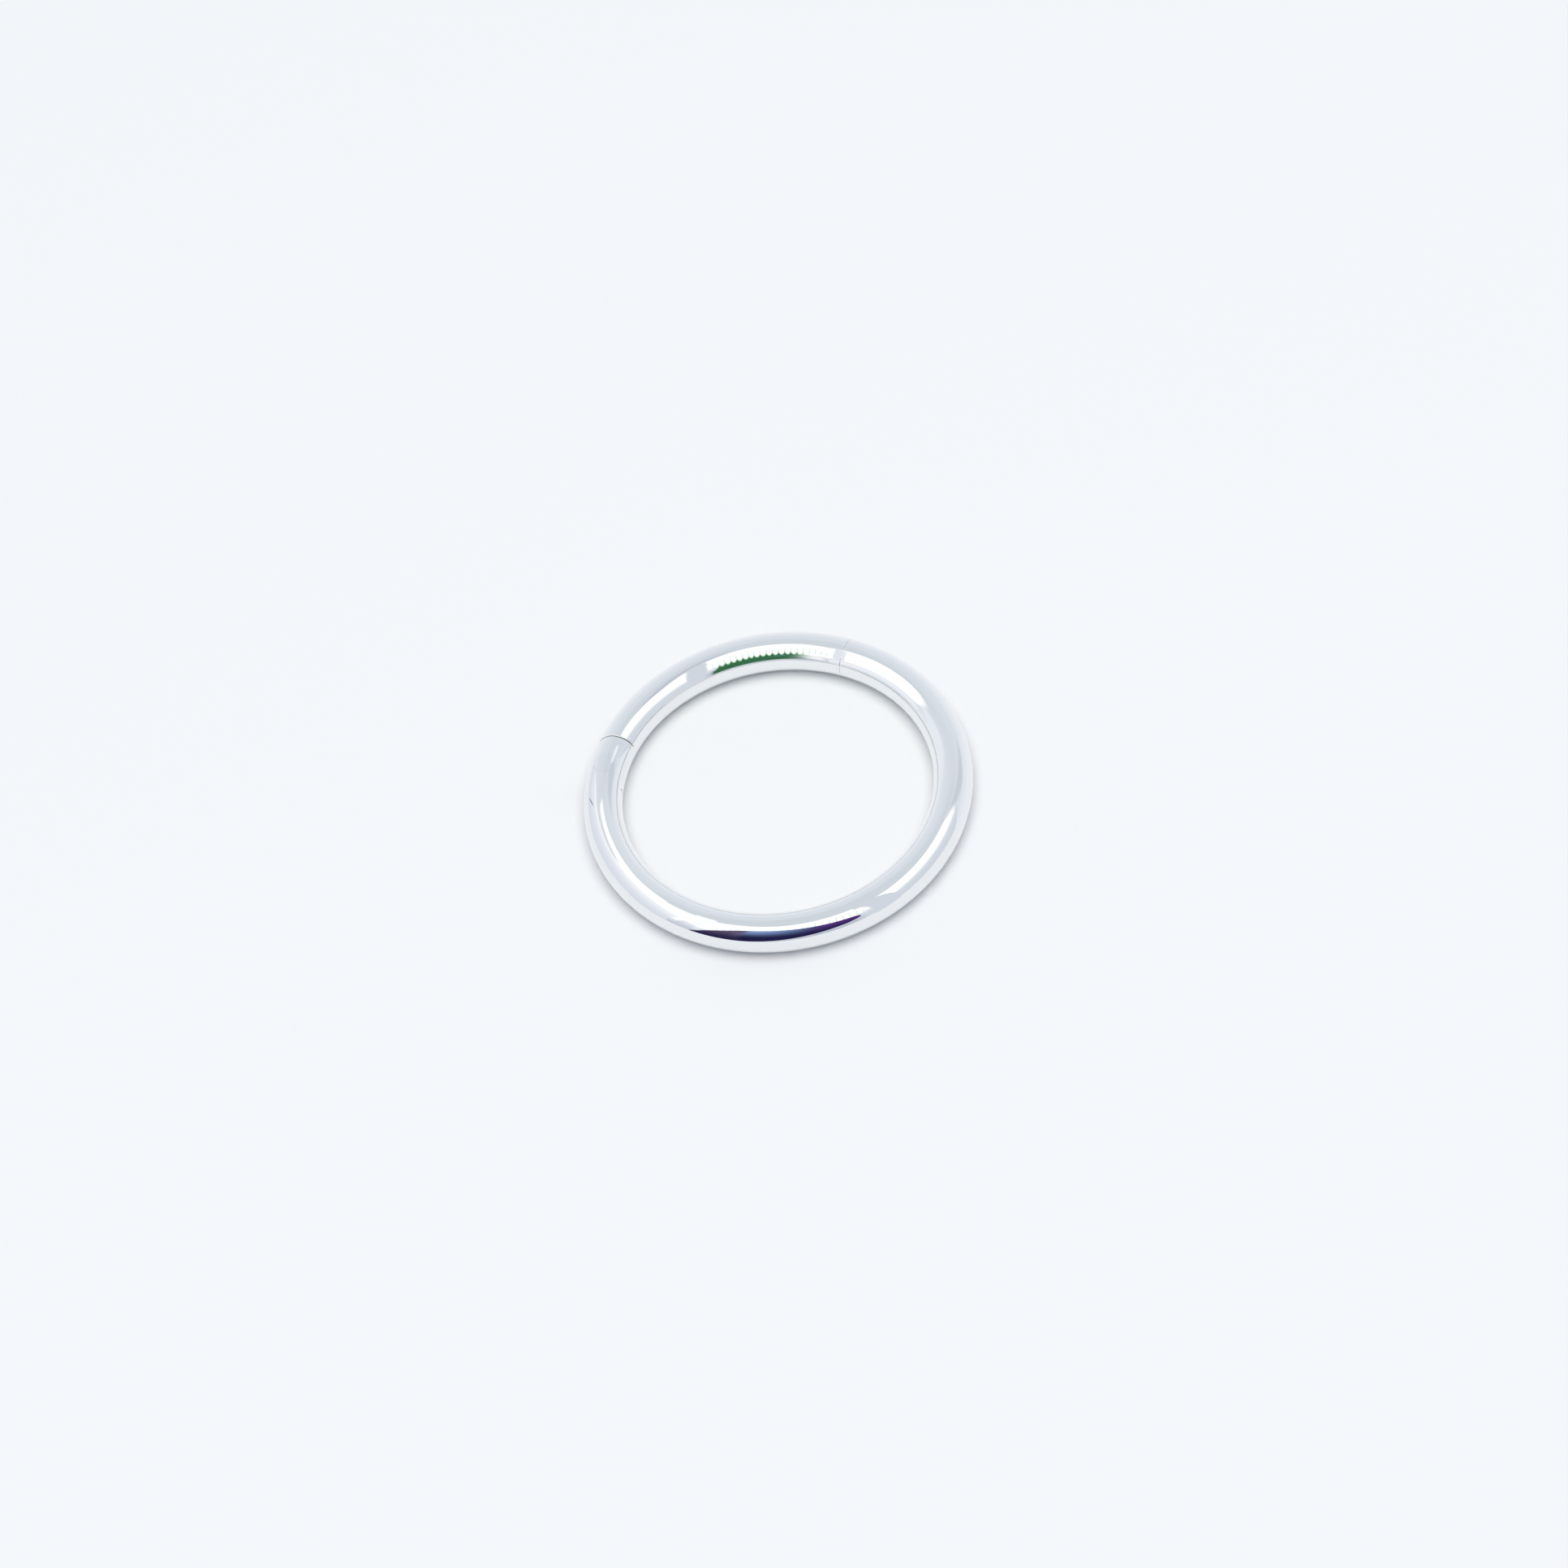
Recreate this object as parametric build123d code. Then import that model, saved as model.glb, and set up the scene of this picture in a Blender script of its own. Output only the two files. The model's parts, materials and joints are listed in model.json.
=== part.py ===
"""Hinged segment ring: a hoop of round wire with a gate that swings out on a pin.

Millimetres, +Z up. The ring lies flat: the origin is on the floor, under the centre of the hoop.
Angles are in degrees, counted from +X towards +Y as seen from above.
"""
from build123d import *
import os
from math import asin, cos, degrees, radians, sin, sqrt

# The hoop
inner_diameter = 8.0
wire_diameter = 1.0

# Where the gate starts and ends on the hoop, and the seams there
clasp_angle = 57.4
hinge_angle = 148.6
seam_gap = 0.04
edge_break = 0.025

# The hinge: a tongue of the gate between two ears of the ring, on one pin
pin_setback = 0.87
pin_diameter = 0.60
pin_seat_gap = 0.01
pin_running_gap = 0.03
tongue_thickness = 0.34
tongue_side_gap = 0.03
tongue_tail_gap = 0.06
saw_radius = 1.8
saw_overrun = 0.22

# The clasp: a flat tab of the gate in a slot of the ring that is open outwards
tab_thickness = 0.30
tab_length = 0.45
tab_depth = 0.62
tab_gap = 0.03

# Sizes that follow from the ones above
wire_radius = wire_diameter / 2
hoop_radius = inner_diameter / 2 + wire_radius
outer_diameter = inner_diameter + 2 * wire_diameter
pin_radius = pin_diameter / 2
ear_hole_radius = pin_radius + pin_seat_gap
tongue_hole_radius = pin_radius + pin_running_gap
slot_thickness = tongue_thickness + 2 * tongue_side_gap
full_turn = 360.0


def arc_degrees(length):
    """Angle at the hoop's centre of a chord of this length along the wire."""
    return degrees(2 * asin(length / (2 * hoop_radius)))


def on_hoop(angle, radius=hoop_radius):
    """Point in plan at this angle and distance from the centre of the hoop."""
    return Vector(radius * cos(radians(angle)), radius * sin(radians(angle)))


half_gap_angle = arc_degrees(seam_gap / 2)
overlap_angle = arc_degrees(wire_radius)
pin_angle = hinge_angle + arc_degrees(pin_setback)
pin_centre = on_hoop(pin_angle)


def wire(start_angle, end_angle):
    """Round wire bent to the hoop's circle, from one angle round to the other.

    The section starts two thirds of a turn round, so that the seam line of the wire's skin runs
    low on the inside, clear of the slots.
    """
    section = Plane.XZ * Pos(hoop_radius, wire_radius) * Rot(0, 0, 2 * full_turn / 3)
    section *= Circle(wire_radius)
    return Rot(0, 0, start_angle) * revolve(section, Axis.Z, end_angle - start_angle)


def plate(outline, thickness):
    """A plan outline as a plate of this thickness, centred on the wire."""
    return extrude(Pos(0, 0, wire_radius - thickness / 2) * outline, thickness)


def sector(inner_radius, start_angle, end_angle):
    """Plan outline between two angles, from this radius to well outside the hoop."""
    outer_radius = outer_diameter
    return make_face([
        CenterArc((0, 0), inner_radius, start_angle, end_angle - start_angle),
        Line(on_hoop(end_angle, inner_radius), on_hoop(end_angle, outer_radius)),
        CenterArc((0, 0), outer_radius, end_angle, start_angle - end_angle),
        Line(on_hoop(start_angle, outer_radius), on_hoop(start_angle, inner_radius)),
    ])


# Plan directions at the hinge: from the pin to the seam along the wire, and outwards across it
along_wire = (on_hoop(hinge_angle) - pin_centre).normalized()
across_wire = Vector(-along_wire.Y, along_wire.X)


def at_hinge(along, across):
    """Point in plan, measured from the pin towards the seam and outwards."""
    return pin_centre + along_wire * along + across_wire * across


def gate_side(radius, reach):
    """What lies on the gate's side of a seam that clears the pin by this radius.

    The inner half of the seam is straight. The outer half is an arc about the pin, so the gate's
    shoulder slides round the ears as it swings out.
    """
    arc_middle = radius * cos(radians(full_turn / 8))
    corners = [at_hinge(radius, 0), at_hinge(radius, -reach), at_hinge(reach, -reach),
               at_hinge(reach, reach), at_hinge(0, reach), at_hinge(0, radius)]
    seam_arc = ThreePointArc(corners[-1], at_hinge(arc_middle, arc_middle), corners[0])
    return make_face([seam_arc] + [Line(a, b) for a, b in zip(corners, corners[1:])])


def tongue_end():
    """Plan outline of the tongue round the pin.

    Its tail is round outside, to clear the end of the slot as the gate swings out. Inside it is
    straight and leans like the saw cut, to fill the slot there.
    """
    arc_middle = wire_radius * cos(radians(full_turn / 8))
    heel = wire_radius - 2 * tongue_tail_gap
    corners = [at_hinge(0, wire_radius), at_hinge(wire_radius, wire_radius),
               at_hinge(wire_radius, -wire_diameter), at_hinge(-heel, -wire_diameter),
               at_hinge(-wire_radius, 0)]
    tail_arc = ThreePointArc(corners[-1], at_hinge(-arc_middle, arc_middle), corners[0])
    return make_face([tail_arc] + [Line(a, b) for a, b in zip(corners, corners[1:])])


def upright(radius):
    """Upright cylinder on the pin's axis, through the wire and past it."""
    return Pos(pin_centre.X, pin_centre.Y, wire_radius) * Cylinder(radius, 2 * wire_diameter)


def saw_cut():
    """Slot between the ears, sawn from outside, so it runs on a little further at the outer side."""
    inner_end = wire_radius + tongue_tail_gap
    middle = inner_end + saw_overrun / 2
    chord = sqrt(saw_overrun**2 + wire_diameter**2)
    rise = sqrt(saw_radius**2 - (chord / 2)**2) / chord
    centre = at_hinge(rise * wire_diameter - middle, rise * saw_overrun)
    return plate(Pos(centre.X, centre.Y) * Circle(saw_radius), slot_thickness)


def clasp_tab(gap):
    """The clasp tab, or with a gap all round, the slot that it sits in."""
    tip_angle = clasp_angle - half_gap_angle - arc_degrees(tab_length + gap)
    root_angle = clasp_angle + half_gap_angle + arc_degrees(tab_length) / 2
    inner_radius = outer_diameter / 2 - tab_depth - gap
    return plate(sector(inner_radius, tip_angle, root_angle), tab_thickness + 2 * gap)


def break_edges(piece):
    """Takes the sharp edge off both ends of a piece of wire."""
    round_faces = [face for face in piece.faces() if face.geom_type == GeomType.TORUS]
    end_faces = [face for face in piece.faces() if face.geom_type != GeomType.TORUS]
    skin_edges = [edge for face in round_faces for edge in face.edges()]
    rims = [edge for face in end_faces for edge in face.edges()
            if any(edge.is_same(other) for other in skin_edges)]
    return chamfer(rims, edge_break)


def make_ring_body():
    """The fixed part of the hoop: ears and pin hole at the hinge, slot at the clasp."""
    seam = gate_side(pin_setback - seam_gap / 2, pin_setback + wire_diameter)
    body = wire(hinge_angle - overlap_angle, full_turn + clasp_angle - half_gap_angle)
    body = break_edges(body - plate(seam, 2 * wire_diameter))
    return body - saw_cut() - upright(ear_hole_radius) - clasp_tab(tab_gap)


def make_gate():
    """The hinged part of the hoop, with its tongue, pin hole and clasp tab."""
    seam = gate_side(pin_setback + seam_gap / 2, outer_diameter)
    gate = wire(clasp_angle + half_gap_angle, pin_angle)
    gate = break_edges(gate & plate(seam, 2 * wire_diameter))
    tongue = plate(sector(inner_diameter / 4, hinge_angle - overlap_angle, pin_angle), tongue_thickness)
    tongue += plate(tongue_end(), tongue_thickness)
    gate += wire(0, full_turn) & (tongue + clasp_tab(0))
    return gate - upright(tongue_hole_radius)


def make_pin():
    """Straight pin through the ears and the tongue, finished flush with the wire."""
    return upright(pin_radius) & wire(0, full_turn)


pieces = {
    "ring_body": make_ring_body(),
    "gate_segment": make_gate(),
    "hinge_pin": make_pin(),
}

os.makedirs("parts", exist_ok=True)
for name, piece in pieces.items():
    export_step(piece, f"parts/{name}.step")
    print(f"{name}: {piece.volume:.4f} mm3, {len(piece.solids())} solid, {len(piece.faces())} faces")
print(f"pin at {pin_angle:.2f} degrees, X {pin_centre.X:.4f}, Y {pin_centre.Y:.4f}")
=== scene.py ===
# %% [markdown]
# # A hinged segment ring, lying on a pale table
# The real ring is 1.0 mm round surgical steel wire, bent to a hoop that is 8 mm across inside.
# A quarter of the hoop is a gate, which swings out on a pin and clicks shut at its other end.
# The hoop is polished like a mirror, so most of its look is what it reflects: this lesson shapes
# the wire exactly, gives it a real polish, and then builds the soft room that it stands in.

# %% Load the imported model
import json
from functools import lru_cache
from math import asin, atan2, cos, degrees, hypot, pi, radians, sin, sqrt

import bmesh
import bpy
from mathutils import Matrix, Vector
from mathutils.geometry import intersect_line_plane

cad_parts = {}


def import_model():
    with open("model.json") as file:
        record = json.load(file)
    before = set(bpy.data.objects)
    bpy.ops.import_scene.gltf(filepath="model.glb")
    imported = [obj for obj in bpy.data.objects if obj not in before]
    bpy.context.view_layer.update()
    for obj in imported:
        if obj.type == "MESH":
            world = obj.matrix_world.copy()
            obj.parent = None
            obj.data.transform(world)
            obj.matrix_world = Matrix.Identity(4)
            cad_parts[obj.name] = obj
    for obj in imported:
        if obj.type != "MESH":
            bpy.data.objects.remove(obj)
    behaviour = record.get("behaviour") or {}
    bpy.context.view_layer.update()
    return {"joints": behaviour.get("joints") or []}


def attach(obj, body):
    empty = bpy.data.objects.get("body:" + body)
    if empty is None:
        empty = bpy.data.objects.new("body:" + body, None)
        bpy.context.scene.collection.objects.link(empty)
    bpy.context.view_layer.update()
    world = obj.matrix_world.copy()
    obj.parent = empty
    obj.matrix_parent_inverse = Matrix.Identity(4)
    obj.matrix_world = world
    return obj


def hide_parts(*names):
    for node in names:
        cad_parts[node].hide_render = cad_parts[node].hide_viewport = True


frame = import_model()

# %% [markdown]
# ## The sizes
# Everything is modelled in millimetres, as a ring maker would draw it, and made metres at the end.
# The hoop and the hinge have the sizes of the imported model. The pin's place is read from the joint
# itself, so the gate turns about the pin that shows. Seams and gaps are finer than in the packed
# model, where they are wide enough to check: on the real ring they are hairlines.

# %% Sizes in millimetres, angles in degrees from +X towards +Y
MM = 0.001
UP = Vector((0, 0, 1))
wire_radius = 0.5
hoop_radius = 4.5
clasp_angle = 57.4
hinge_angle = 148.6
pin_setback = 0.87

pin = Vector(frame["joints"][0]["pos_m"][:2]) / MM
pin_angle = degrees(atan2(pin.y, pin.x))
print(f"pin at {pin_angle:.2f} degrees, {pin.length:.3f} mm from the centre")

# %% [markdown]
# ## Places on the wire
# A point of the wire has an angle round the hoop and a radius from the hoop's centre. On the wire's
# skin it has a second angle, round the wire, from its outer side up. Lengths along the wire are
# chords, as a calliper measures them.

# %% Points and lengths
def arc_degrees(length):
    """Angle at the hoop's centre of a chord of this length along the wire."""
    return degrees(2 * asin(length / (2 * hoop_radius)))


def on_hoop(angle, radius=hoop_radius):
    """Point in plan at this angle and radius."""
    return Vector((radius * cos(radians(angle)), radius * sin(radians(angle))))


def on_skin(angle, section_angle):
    """Point on the skin of the wire, and the direction straight out of it there."""
    outward = Vector((*on_hoop(angle, 1.0), 0))
    normal = outward * cos(radians(section_angle)) + UP * sin(radians(section_angle))
    return outward * hoop_radius + UP * wire_radius + normal * wire_radius, normal


print(f"1 mm along the wire is {arc_degrees(1.0):.2f} degrees of the hoop")

# %% [markdown]
# The hinge's seam is flat in its inner half and an arc about the pin in its outer half, so that the
# gate's shoulder slides round the ears as it opens. There is no formula for where a line of the
# wire meets such a seam, so it is found by halving.

# %% Distance from the pin
along_wire = (on_hoop(hinge_angle) - pin).normalized()
across_wire = Vector((-along_wire.y, along_wire.x))
heel_lean = 0.01
HALVINGS = 40


def from_pin(radius, angle):
    """Distance of a point from the pin: along the wire inside, and round the pin outside."""
    offset = on_hoop(angle, radius) - pin
    along, across = offset.dot(along_wire), offset.dot(across_wire)
    if across > 0:
        return hypot(along, across)
    return along if along > 0 else heel_lean * abs(across) - along


@lru_cache(maxsize=None)
def angle_from_pin(radius, distance, side):
    """Angle where a line of the wire comes this far from the pin, on one side of it."""
    near, far = pin_angle, pin_angle + side * arc_degrees(2 * pin_setback)
    for _ in range(HALVINGS):
        middle = (near + far) / 2
        if from_pin(radius, middle) < distance:
            near = middle
        else:
            far = middle
    return near


print(f"hinge seam {from_pin(hoop_radius, hinge_angle):.3f} mm from the pin")

# %% [markdown]
# Every end of a piece is a function of the same kind. It takes the radius of a line of the wire,
# and how far to stay back from the end, and gives the angle there. The clasp's seam is a plane
# through the hoop's centre, so its two ends are the same at every radius.

# %% The ends of the pieces
clasp_half_seam = 0.002
hinge_half_seam = 0.010
tongue_radius = 0.50
RADIUS_DIGITS = 6


def ring_at_hinge(radius, back):
    return angle_from_pin(round(radius, RADIUS_DIGITS), pin_setback - hinge_half_seam - back, -1)


def gate_at_hinge(radius, back):
    return angle_from_pin(round(radius, RADIUS_DIGITS), pin_setback + hinge_half_seam + back, -1)


def tongue_tail(radius, back):
    return angle_from_pin(round(radius, RADIUS_DIGITS), tongue_radius - back, 1)


def gate_at_clasp(radius, back):
    return clasp_angle + arc_degrees(clasp_half_seam + back)


def ring_at_clasp(radius, back):
    return 360 + clasp_angle - arc_degrees(clasp_half_seam + back)


print(f"gate runs from {gate_at_clasp(hoop_radius, 0):.2f} to {gate_at_hinge(hoop_radius, 0):.2f}")

# %% [markdown]
# ## Bending the wire
# Real segment rings are cut from drawn wire that is coiled round a mandrel, so every section is
# the same circle. Here a circle is spun round the hoop's axis in the same way. A curve with a round
# bevel would be quicker, but its ends are always square to the wire.

# %% Section and spin
SECTION_SIDES = 96
DEGREES_A_STEP = 0.9


def section_circle(bm, filled=False):
    """Circle of the wire, upright in the X-Z plane at +X."""
    bmesh.ops.create_circle(bm, cap_ends=filled, segments=SECTION_SIDES, radius=wire_radius)
    bmesh.ops.rotate(bm, verts=bm.verts, matrix=Matrix.Rotation(pi / 2, 3, "X"))
    bmesh.ops.translate(bm, verts=bm.verts, vec=(hoop_radius, 0, wire_radius))


def spin_section(bm, start, finish):
    """Spins the open section from one angle round to the other."""
    steps = max(1, round((finish - start) / DEGREES_A_STEP))
    bmesh.ops.rotate(bm, verts=bm.verts, matrix=Matrix.Rotation(radians(start), 3, "Z"))
    bmesh.ops.spin(bm, geom=bm.verts[:] + bm.edges[:], axis=(0, 0, 1), steps=steps,
                   angle=radians(finish - start), use_merge=False)


print(f"{SECTION_SIDES} sides round the wire, a section every {DEGREES_A_STEP} degrees")

# %% [markdown]
# A spun piece ends square to the wire. Each line of it is now stretched a little, so that it ends
# exactly on the two seams, whatever their shape in plan is.

# %% Stretch to the seams
MARGIN = 1.0


def put(vert, radius, height, angle):
    vert.co = (*on_hoop(angle, radius), height)


def share_of_way(vert, start, finish):
    """How far along the piece a vertex lies, from 0 to 1, or a little past its ends."""
    angle = degrees(atan2(vert.co.y, vert.co.x))
    return ((angle - start + MARGIN) % 360 - MARGIN) / (finish - start)


def stretch_to_ends(bm, start, finish, start_back=0.0, finish_back=0.0):
    """Stretches each line of a spun piece so that it ends on its two seams, or a little before."""
    first, last = start(hoop_radius, 0), finish(hoop_radius, 0)
    for vert in bm.verts:
        radius = hypot(vert.co.x, vert.co.y)
        share = share_of_way(vert, first, last)
        low, high = start(radius, start_back), finish(radius, finish_back)
        put(vert, radius, vert.co.z, low + share * (high - low))


print(f"the seam crosses the wire from {gate_at_hinge(hoop_radius - wire_radius, 0):.2f} inside "
      f"to {gate_at_hinge(hoop_radius + wire_radius, 0):.2f} outside")

# %% [markdown]
# The ends are still open. The next helpers find the open rim at one end, pull a new loop out of it,
# and close it. A closed end is cut into upright strips, because a single face can't lie on a seam
# that curves in plan.

# %% Rims and closed ends
PAIR_DIGITS = 5


def open_rim(bm, start, finish, at_finish):
    """Open edges at one end of a spun piece."""
    first, last = start(hoop_radius, 0), finish(hoop_radius, 0)
    return [edge for edge in bm.edges if edge.is_boundary
            and (share_of_way(edge.verts[0], first, last) > 0.5) == at_finish]


def extrude_rim(bm, rim):
    """Extrudes an open rim and returns the new one and its vertices, still in place."""
    made = bmesh.ops.extrude_edge_only(bm, edges=rim)["geom"]
    verts = [item for item in made if isinstance(item, bmesh.types.BMVert)]
    edges = [item for item in made if isinstance(item, bmesh.types.BMEdge)]
    return [edge for edge in edges if edge.is_boundary], verts


def close_end(bm, rim):
    """Closes an end with upright strips, which lie flat on a seam that curves in plan."""
    def radius_then_height(vert):
        return round(hypot(vert.co.x, vert.co.y), PAIR_DIGITS), vert.co.z

    face = bmesh.ops.contextual_create(bm, geom=rim)["faces"][0]
    across = sorted(face.verts, key=radius_then_height)
    for low, high in zip(across[1:-1:2], across[2:-1:2]):
        bmesh.ops.connect_verts(bm, verts=[low, high])


print("an end has", SECTION_SIDES // 2 - 1, "upright cuts")

# %% [markdown]
# A tumbled edge is never sharp, so the rim turns over in a small quarter round before the end is
# closed. A thin support loop before the rim keeps the smooth shading of the wire true right up to
# it. The clasp's edges are crisper than the hinge's, as its seam hardly shows on the real ring.

# %% Ring and gate as bent wire
RIM_STEPS = 3
SUPPORT = 0.008
clasp_edge_break = 0.006
hinge_edge_break = 0.016


def bend_wire(start, finish, start_break, finish_break):
    """Closed piece of round wire with rounded rims, between two seams."""
    bm = bmesh.new()
    section_circle(bm)
    spin_section(bm, start(hoop_radius, 0), finish(hoop_radius, 0))
    stretch_to_ends(bm, start, finish, start_break + SUPPORT, finish_break + SUPPORT)
    for shape, edge_break, at_finish in ((start, start_break, False), (finish, finish_break, True)):
        rim = open_rim(bm, start, finish, at_finish)
        for step in range(RIM_STEPS + 1):
            turn = pi / 2 * step / RIM_STEPS
            rim, verts = extrude_rim(bm, rim)
            for vert in verts:
                section = atan2(vert.co.z - wire_radius, hypot(vert.co.x, vert.co.y) - hoop_radius)
                thin = wire_radius - edge_break * (1 - cos(turn))
                radius = hoop_radius + thin * cos(section)
                height = wire_radius + thin * sin(section)
                put(vert, radius, height, shape(radius, edge_break * (1 - sin(turn))))
        close_end(bm, rim)
    bmesh.ops.recalc_face_normals(bm, faces=bm.faces)
    return bm


ring = bend_wire(ring_at_hinge, ring_at_clasp, hinge_edge_break, clasp_edge_break)
gate = bend_wire(gate_at_clasp, gate_at_hinge, clasp_edge_break, hinge_edge_break)
print("ring wire faces:", len(ring.faces), "gate wire faces:", len(gate.faces))

# %% [markdown]
# ## Cutting and joining
# The maker saws the hinge slot with a small disc, drills the pin hole and mills the clasp's slot.
# Each cutter is a closed bmesh of that tool's shape, and the Boolean modifier takes it away. The
# exact solver is used, because the cuts are only hundredths of a millimetre from other faces.

# %% A helper for one cut or join, and round cutters
BAR_SIDES = 2 * SECTION_SIDES


def combine(body, tool, operation):
    """Boolean of two closed bmeshes. Uses both up and returns the result."""
    blanks = []
    for bm in (body, tool):
        mesh = bpy.data.meshes.new("blank")
        bm.to_mesh(mesh)
        bm.free()
        blanks.append(bpy.data.objects.new("blank", mesh))
        bpy.context.scene.collection.objects.link(blanks[-1])
    cut = blanks[0].modifiers.new("cut", "BOOLEAN")
    cut.object, cut.operation, cut.solver = blanks[1], operation, "EXACT"
    result = bmesh.new()
    result.from_object(blanks[0], bpy.context.evaluated_depsgraph_get())
    for blank in blanks:
        bpy.data.meshes.remove(blank.data)
    return result


def round_bar(centre, radius, height):
    """Upright cylinder through the middle of the wire."""
    bm = bmesh.new()
    bmesh.ops.create_cone(bm, cap_ends=True, segments=BAR_SIDES, radius1=radius, radius2=radius,
                          depth=height)
    bmesh.ops.translate(bm, verts=bm.verts, vec=(centre.x, centre.y, wire_radius))
    return bm


print("round cutters have", BAR_SIDES, "sides")

# %% [markdown]
# ## The gate's tongue and tab
# Both grow out of an end of the gate, and both start as slices of the wire's own section, so their
# outer faces stay part of the round wire. Their roots are drawn in a little, so that they start
# inside the gate and the join leaves no doubled skin.

# %% Slices of the section
ROOT_SHRINK = 0.85
ROOT_DEPTH = 0.12
START_AHEAD = 0.005
SHORTEST_FLAT = 0.2


def section_slice(thickness, inner_radius, flat_cuts):
    """Edges of the section between two heights and outside a radius, with its flats divided."""
    bm = bmesh.new()
    section_circle(bm, filled=True)
    planes = [((0, 0, wire_radius + thickness / 2), (0, 0, 1)),
              ((0, 0, wire_radius - thickness / 2), (0, 0, -1)),
              ((inner_radius, 0, 0), (-1, 0, 0))]
    for point, normal in planes:
        bmesh.ops.bisect_plane(bm, geom=bm.verts[:] + bm.edges[:] + bm.faces[:], plane_co=point,
                               plane_no=normal, clear_outer=True)
    bmesh.ops.delete(bm, geom=bm.faces[:], context="FACES_ONLY")
    flats = [edge for edge in bm.edges if edge.calc_length() > SHORTEST_FLAT]
    bmesh.ops.subdivide_edges(bm, edges=flats, cuts=flat_cuts)
    return bm


def sink_root(bm, rim, middle_radius, root_angle):
    """Draws an end in towards the middle of its section and pushes it to an angle."""
    rim, verts = extrude_rim(bm, rim)
    for vert in verts:
        radius = middle_radius + (hypot(vert.co.x, vert.co.y) - middle_radius) * ROOT_SHRINK
        height = wire_radius + (vert.co.z - wire_radius) * ROOT_SHRINK
        put(vert, radius, height, root_angle(radius, ROOT_DEPTH))
    return rim


print(f"roots start {ROOT_DEPTH} mm inside the gate")

# %% [markdown]
# The tongue lies between the two ears of the ring, and the pin goes through it. It is the middle
# slice of the wire with a round tail, which turns in the slot as the gate swings.

# %% Tongue
tongue_thickness = 0.34
TONGUE_CUTS = 24


def make_tongue():
    """Middle slice of the wire from inside the gate to the round tail behind the pin."""
    bm = section_slice(tongue_thickness, hoop_radius - 2 * wire_radius, TONGUE_CUTS)

    def start(radius, back):
        return gate_at_hinge(radius, -START_AHEAD)

    spin_section(bm, start(hoop_radius, 0), tongue_tail(hoop_radius, 0))
    stretch_to_ends(bm, start, tongue_tail)
    tail = open_rim(bm, start, tongue_tail, True)
    root = open_rim(bm, start, tongue_tail, False)
    close_end(bm, tail)
    close_end(bm, sink_root(bm, root, hoop_radius, gate_at_hinge))
    bmesh.ops.recalc_face_normals(bm, faces=bm.faces)
    return bm


gate = combine(gate, make_tongue(), "UNION")
print("gate faces with the tongue:", len(gate.faces))

# %% [markdown]
# The clasp's tab is a thin flat at the gate's other end. It is as deep as the slot that the ring
# has for it, which is open outwards, so the gate can swing in and out.

# %% Tab and pin hole
tab_thickness = 0.30
tab_length = 0.45
tab_depth = 0.62
tongue_hole_radius = 0.33


def make_tab():
    """Thin flat from inside the gate's free end to its tip in the ring's slot."""
    inner_radius = hoop_radius + wire_radius - tab_depth
    bm = section_slice(tab_thickness, inner_radius, 0)
    tip = clasp_angle - arc_degrees(clasp_half_seam + tab_length)
    face_angle = clasp_angle + arc_degrees(clasp_half_seam - START_AHEAD)
    spin_section(bm, tip, face_angle)
    first, last = (lambda radius, back: tip), (lambda radius, back: face_angle)
    bmesh.ops.contextual_create(bm, geom=open_rim(bm, first, last, False))
    rim = sink_root(bm, open_rim(bm, first, last, True), inner_radius + tab_depth / 2, gate_at_clasp)
    bmesh.ops.contextual_create(bm, geom=rim)
    bmesh.ops.recalc_face_normals(bm, faces=bm.faces)
    return bm


gate = combine(gate, make_tab(), "UNION")
gate = combine(gate, round_bar(pin, tongue_hole_radius, 4 * wire_radius), "DIFFERENCE")
print("gate faces:", len(gate.faces), "open edges:", sum(not e.is_manifold for e in gate.edges))

# %% [markdown]
# ## The ring's slots and the pin
# The saw comes from outside, so its arc runs on a little further at the outer side. The ears' hole
# is only a hair wider than the pin, which is pressed into it.

# %% Saw cut and ears' hole
ear_hole_radius = 0.301
slot_thickness = 0.346
slot_reach = 0.56
saw_radius = 1.8
saw_overrun = 0.22


def saw_disc():
    """Disc whose edge reaches past the pin, less far at the inner side than at the outer one."""
    wire_thickness = 2 * wire_radius
    middle = slot_reach + saw_overrun / 2
    chord = hypot(saw_overrun, wire_thickness)
    rise = sqrt(saw_radius**2 - (chord / 2)**2) / chord
    centre = pin + along_wire * (rise * wire_thickness - middle) + across_wire * (rise * saw_overrun)
    return round_bar(centre, saw_radius, slot_thickness)


ring = combine(ring, saw_disc(), "DIFFERENCE")
ring = combine(ring, round_bar(pin, ear_hole_radius, 4 * wire_radius), "DIFFERENCE")
print("ring faces with its ears:", len(ring.faces))

# %% [markdown]
# The tab's slot is cut with a plate that is spun like the wire, so its walls stay parallel to the
# tab all the way.

# %% Tab slot
tab_gap = 0.03


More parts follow.
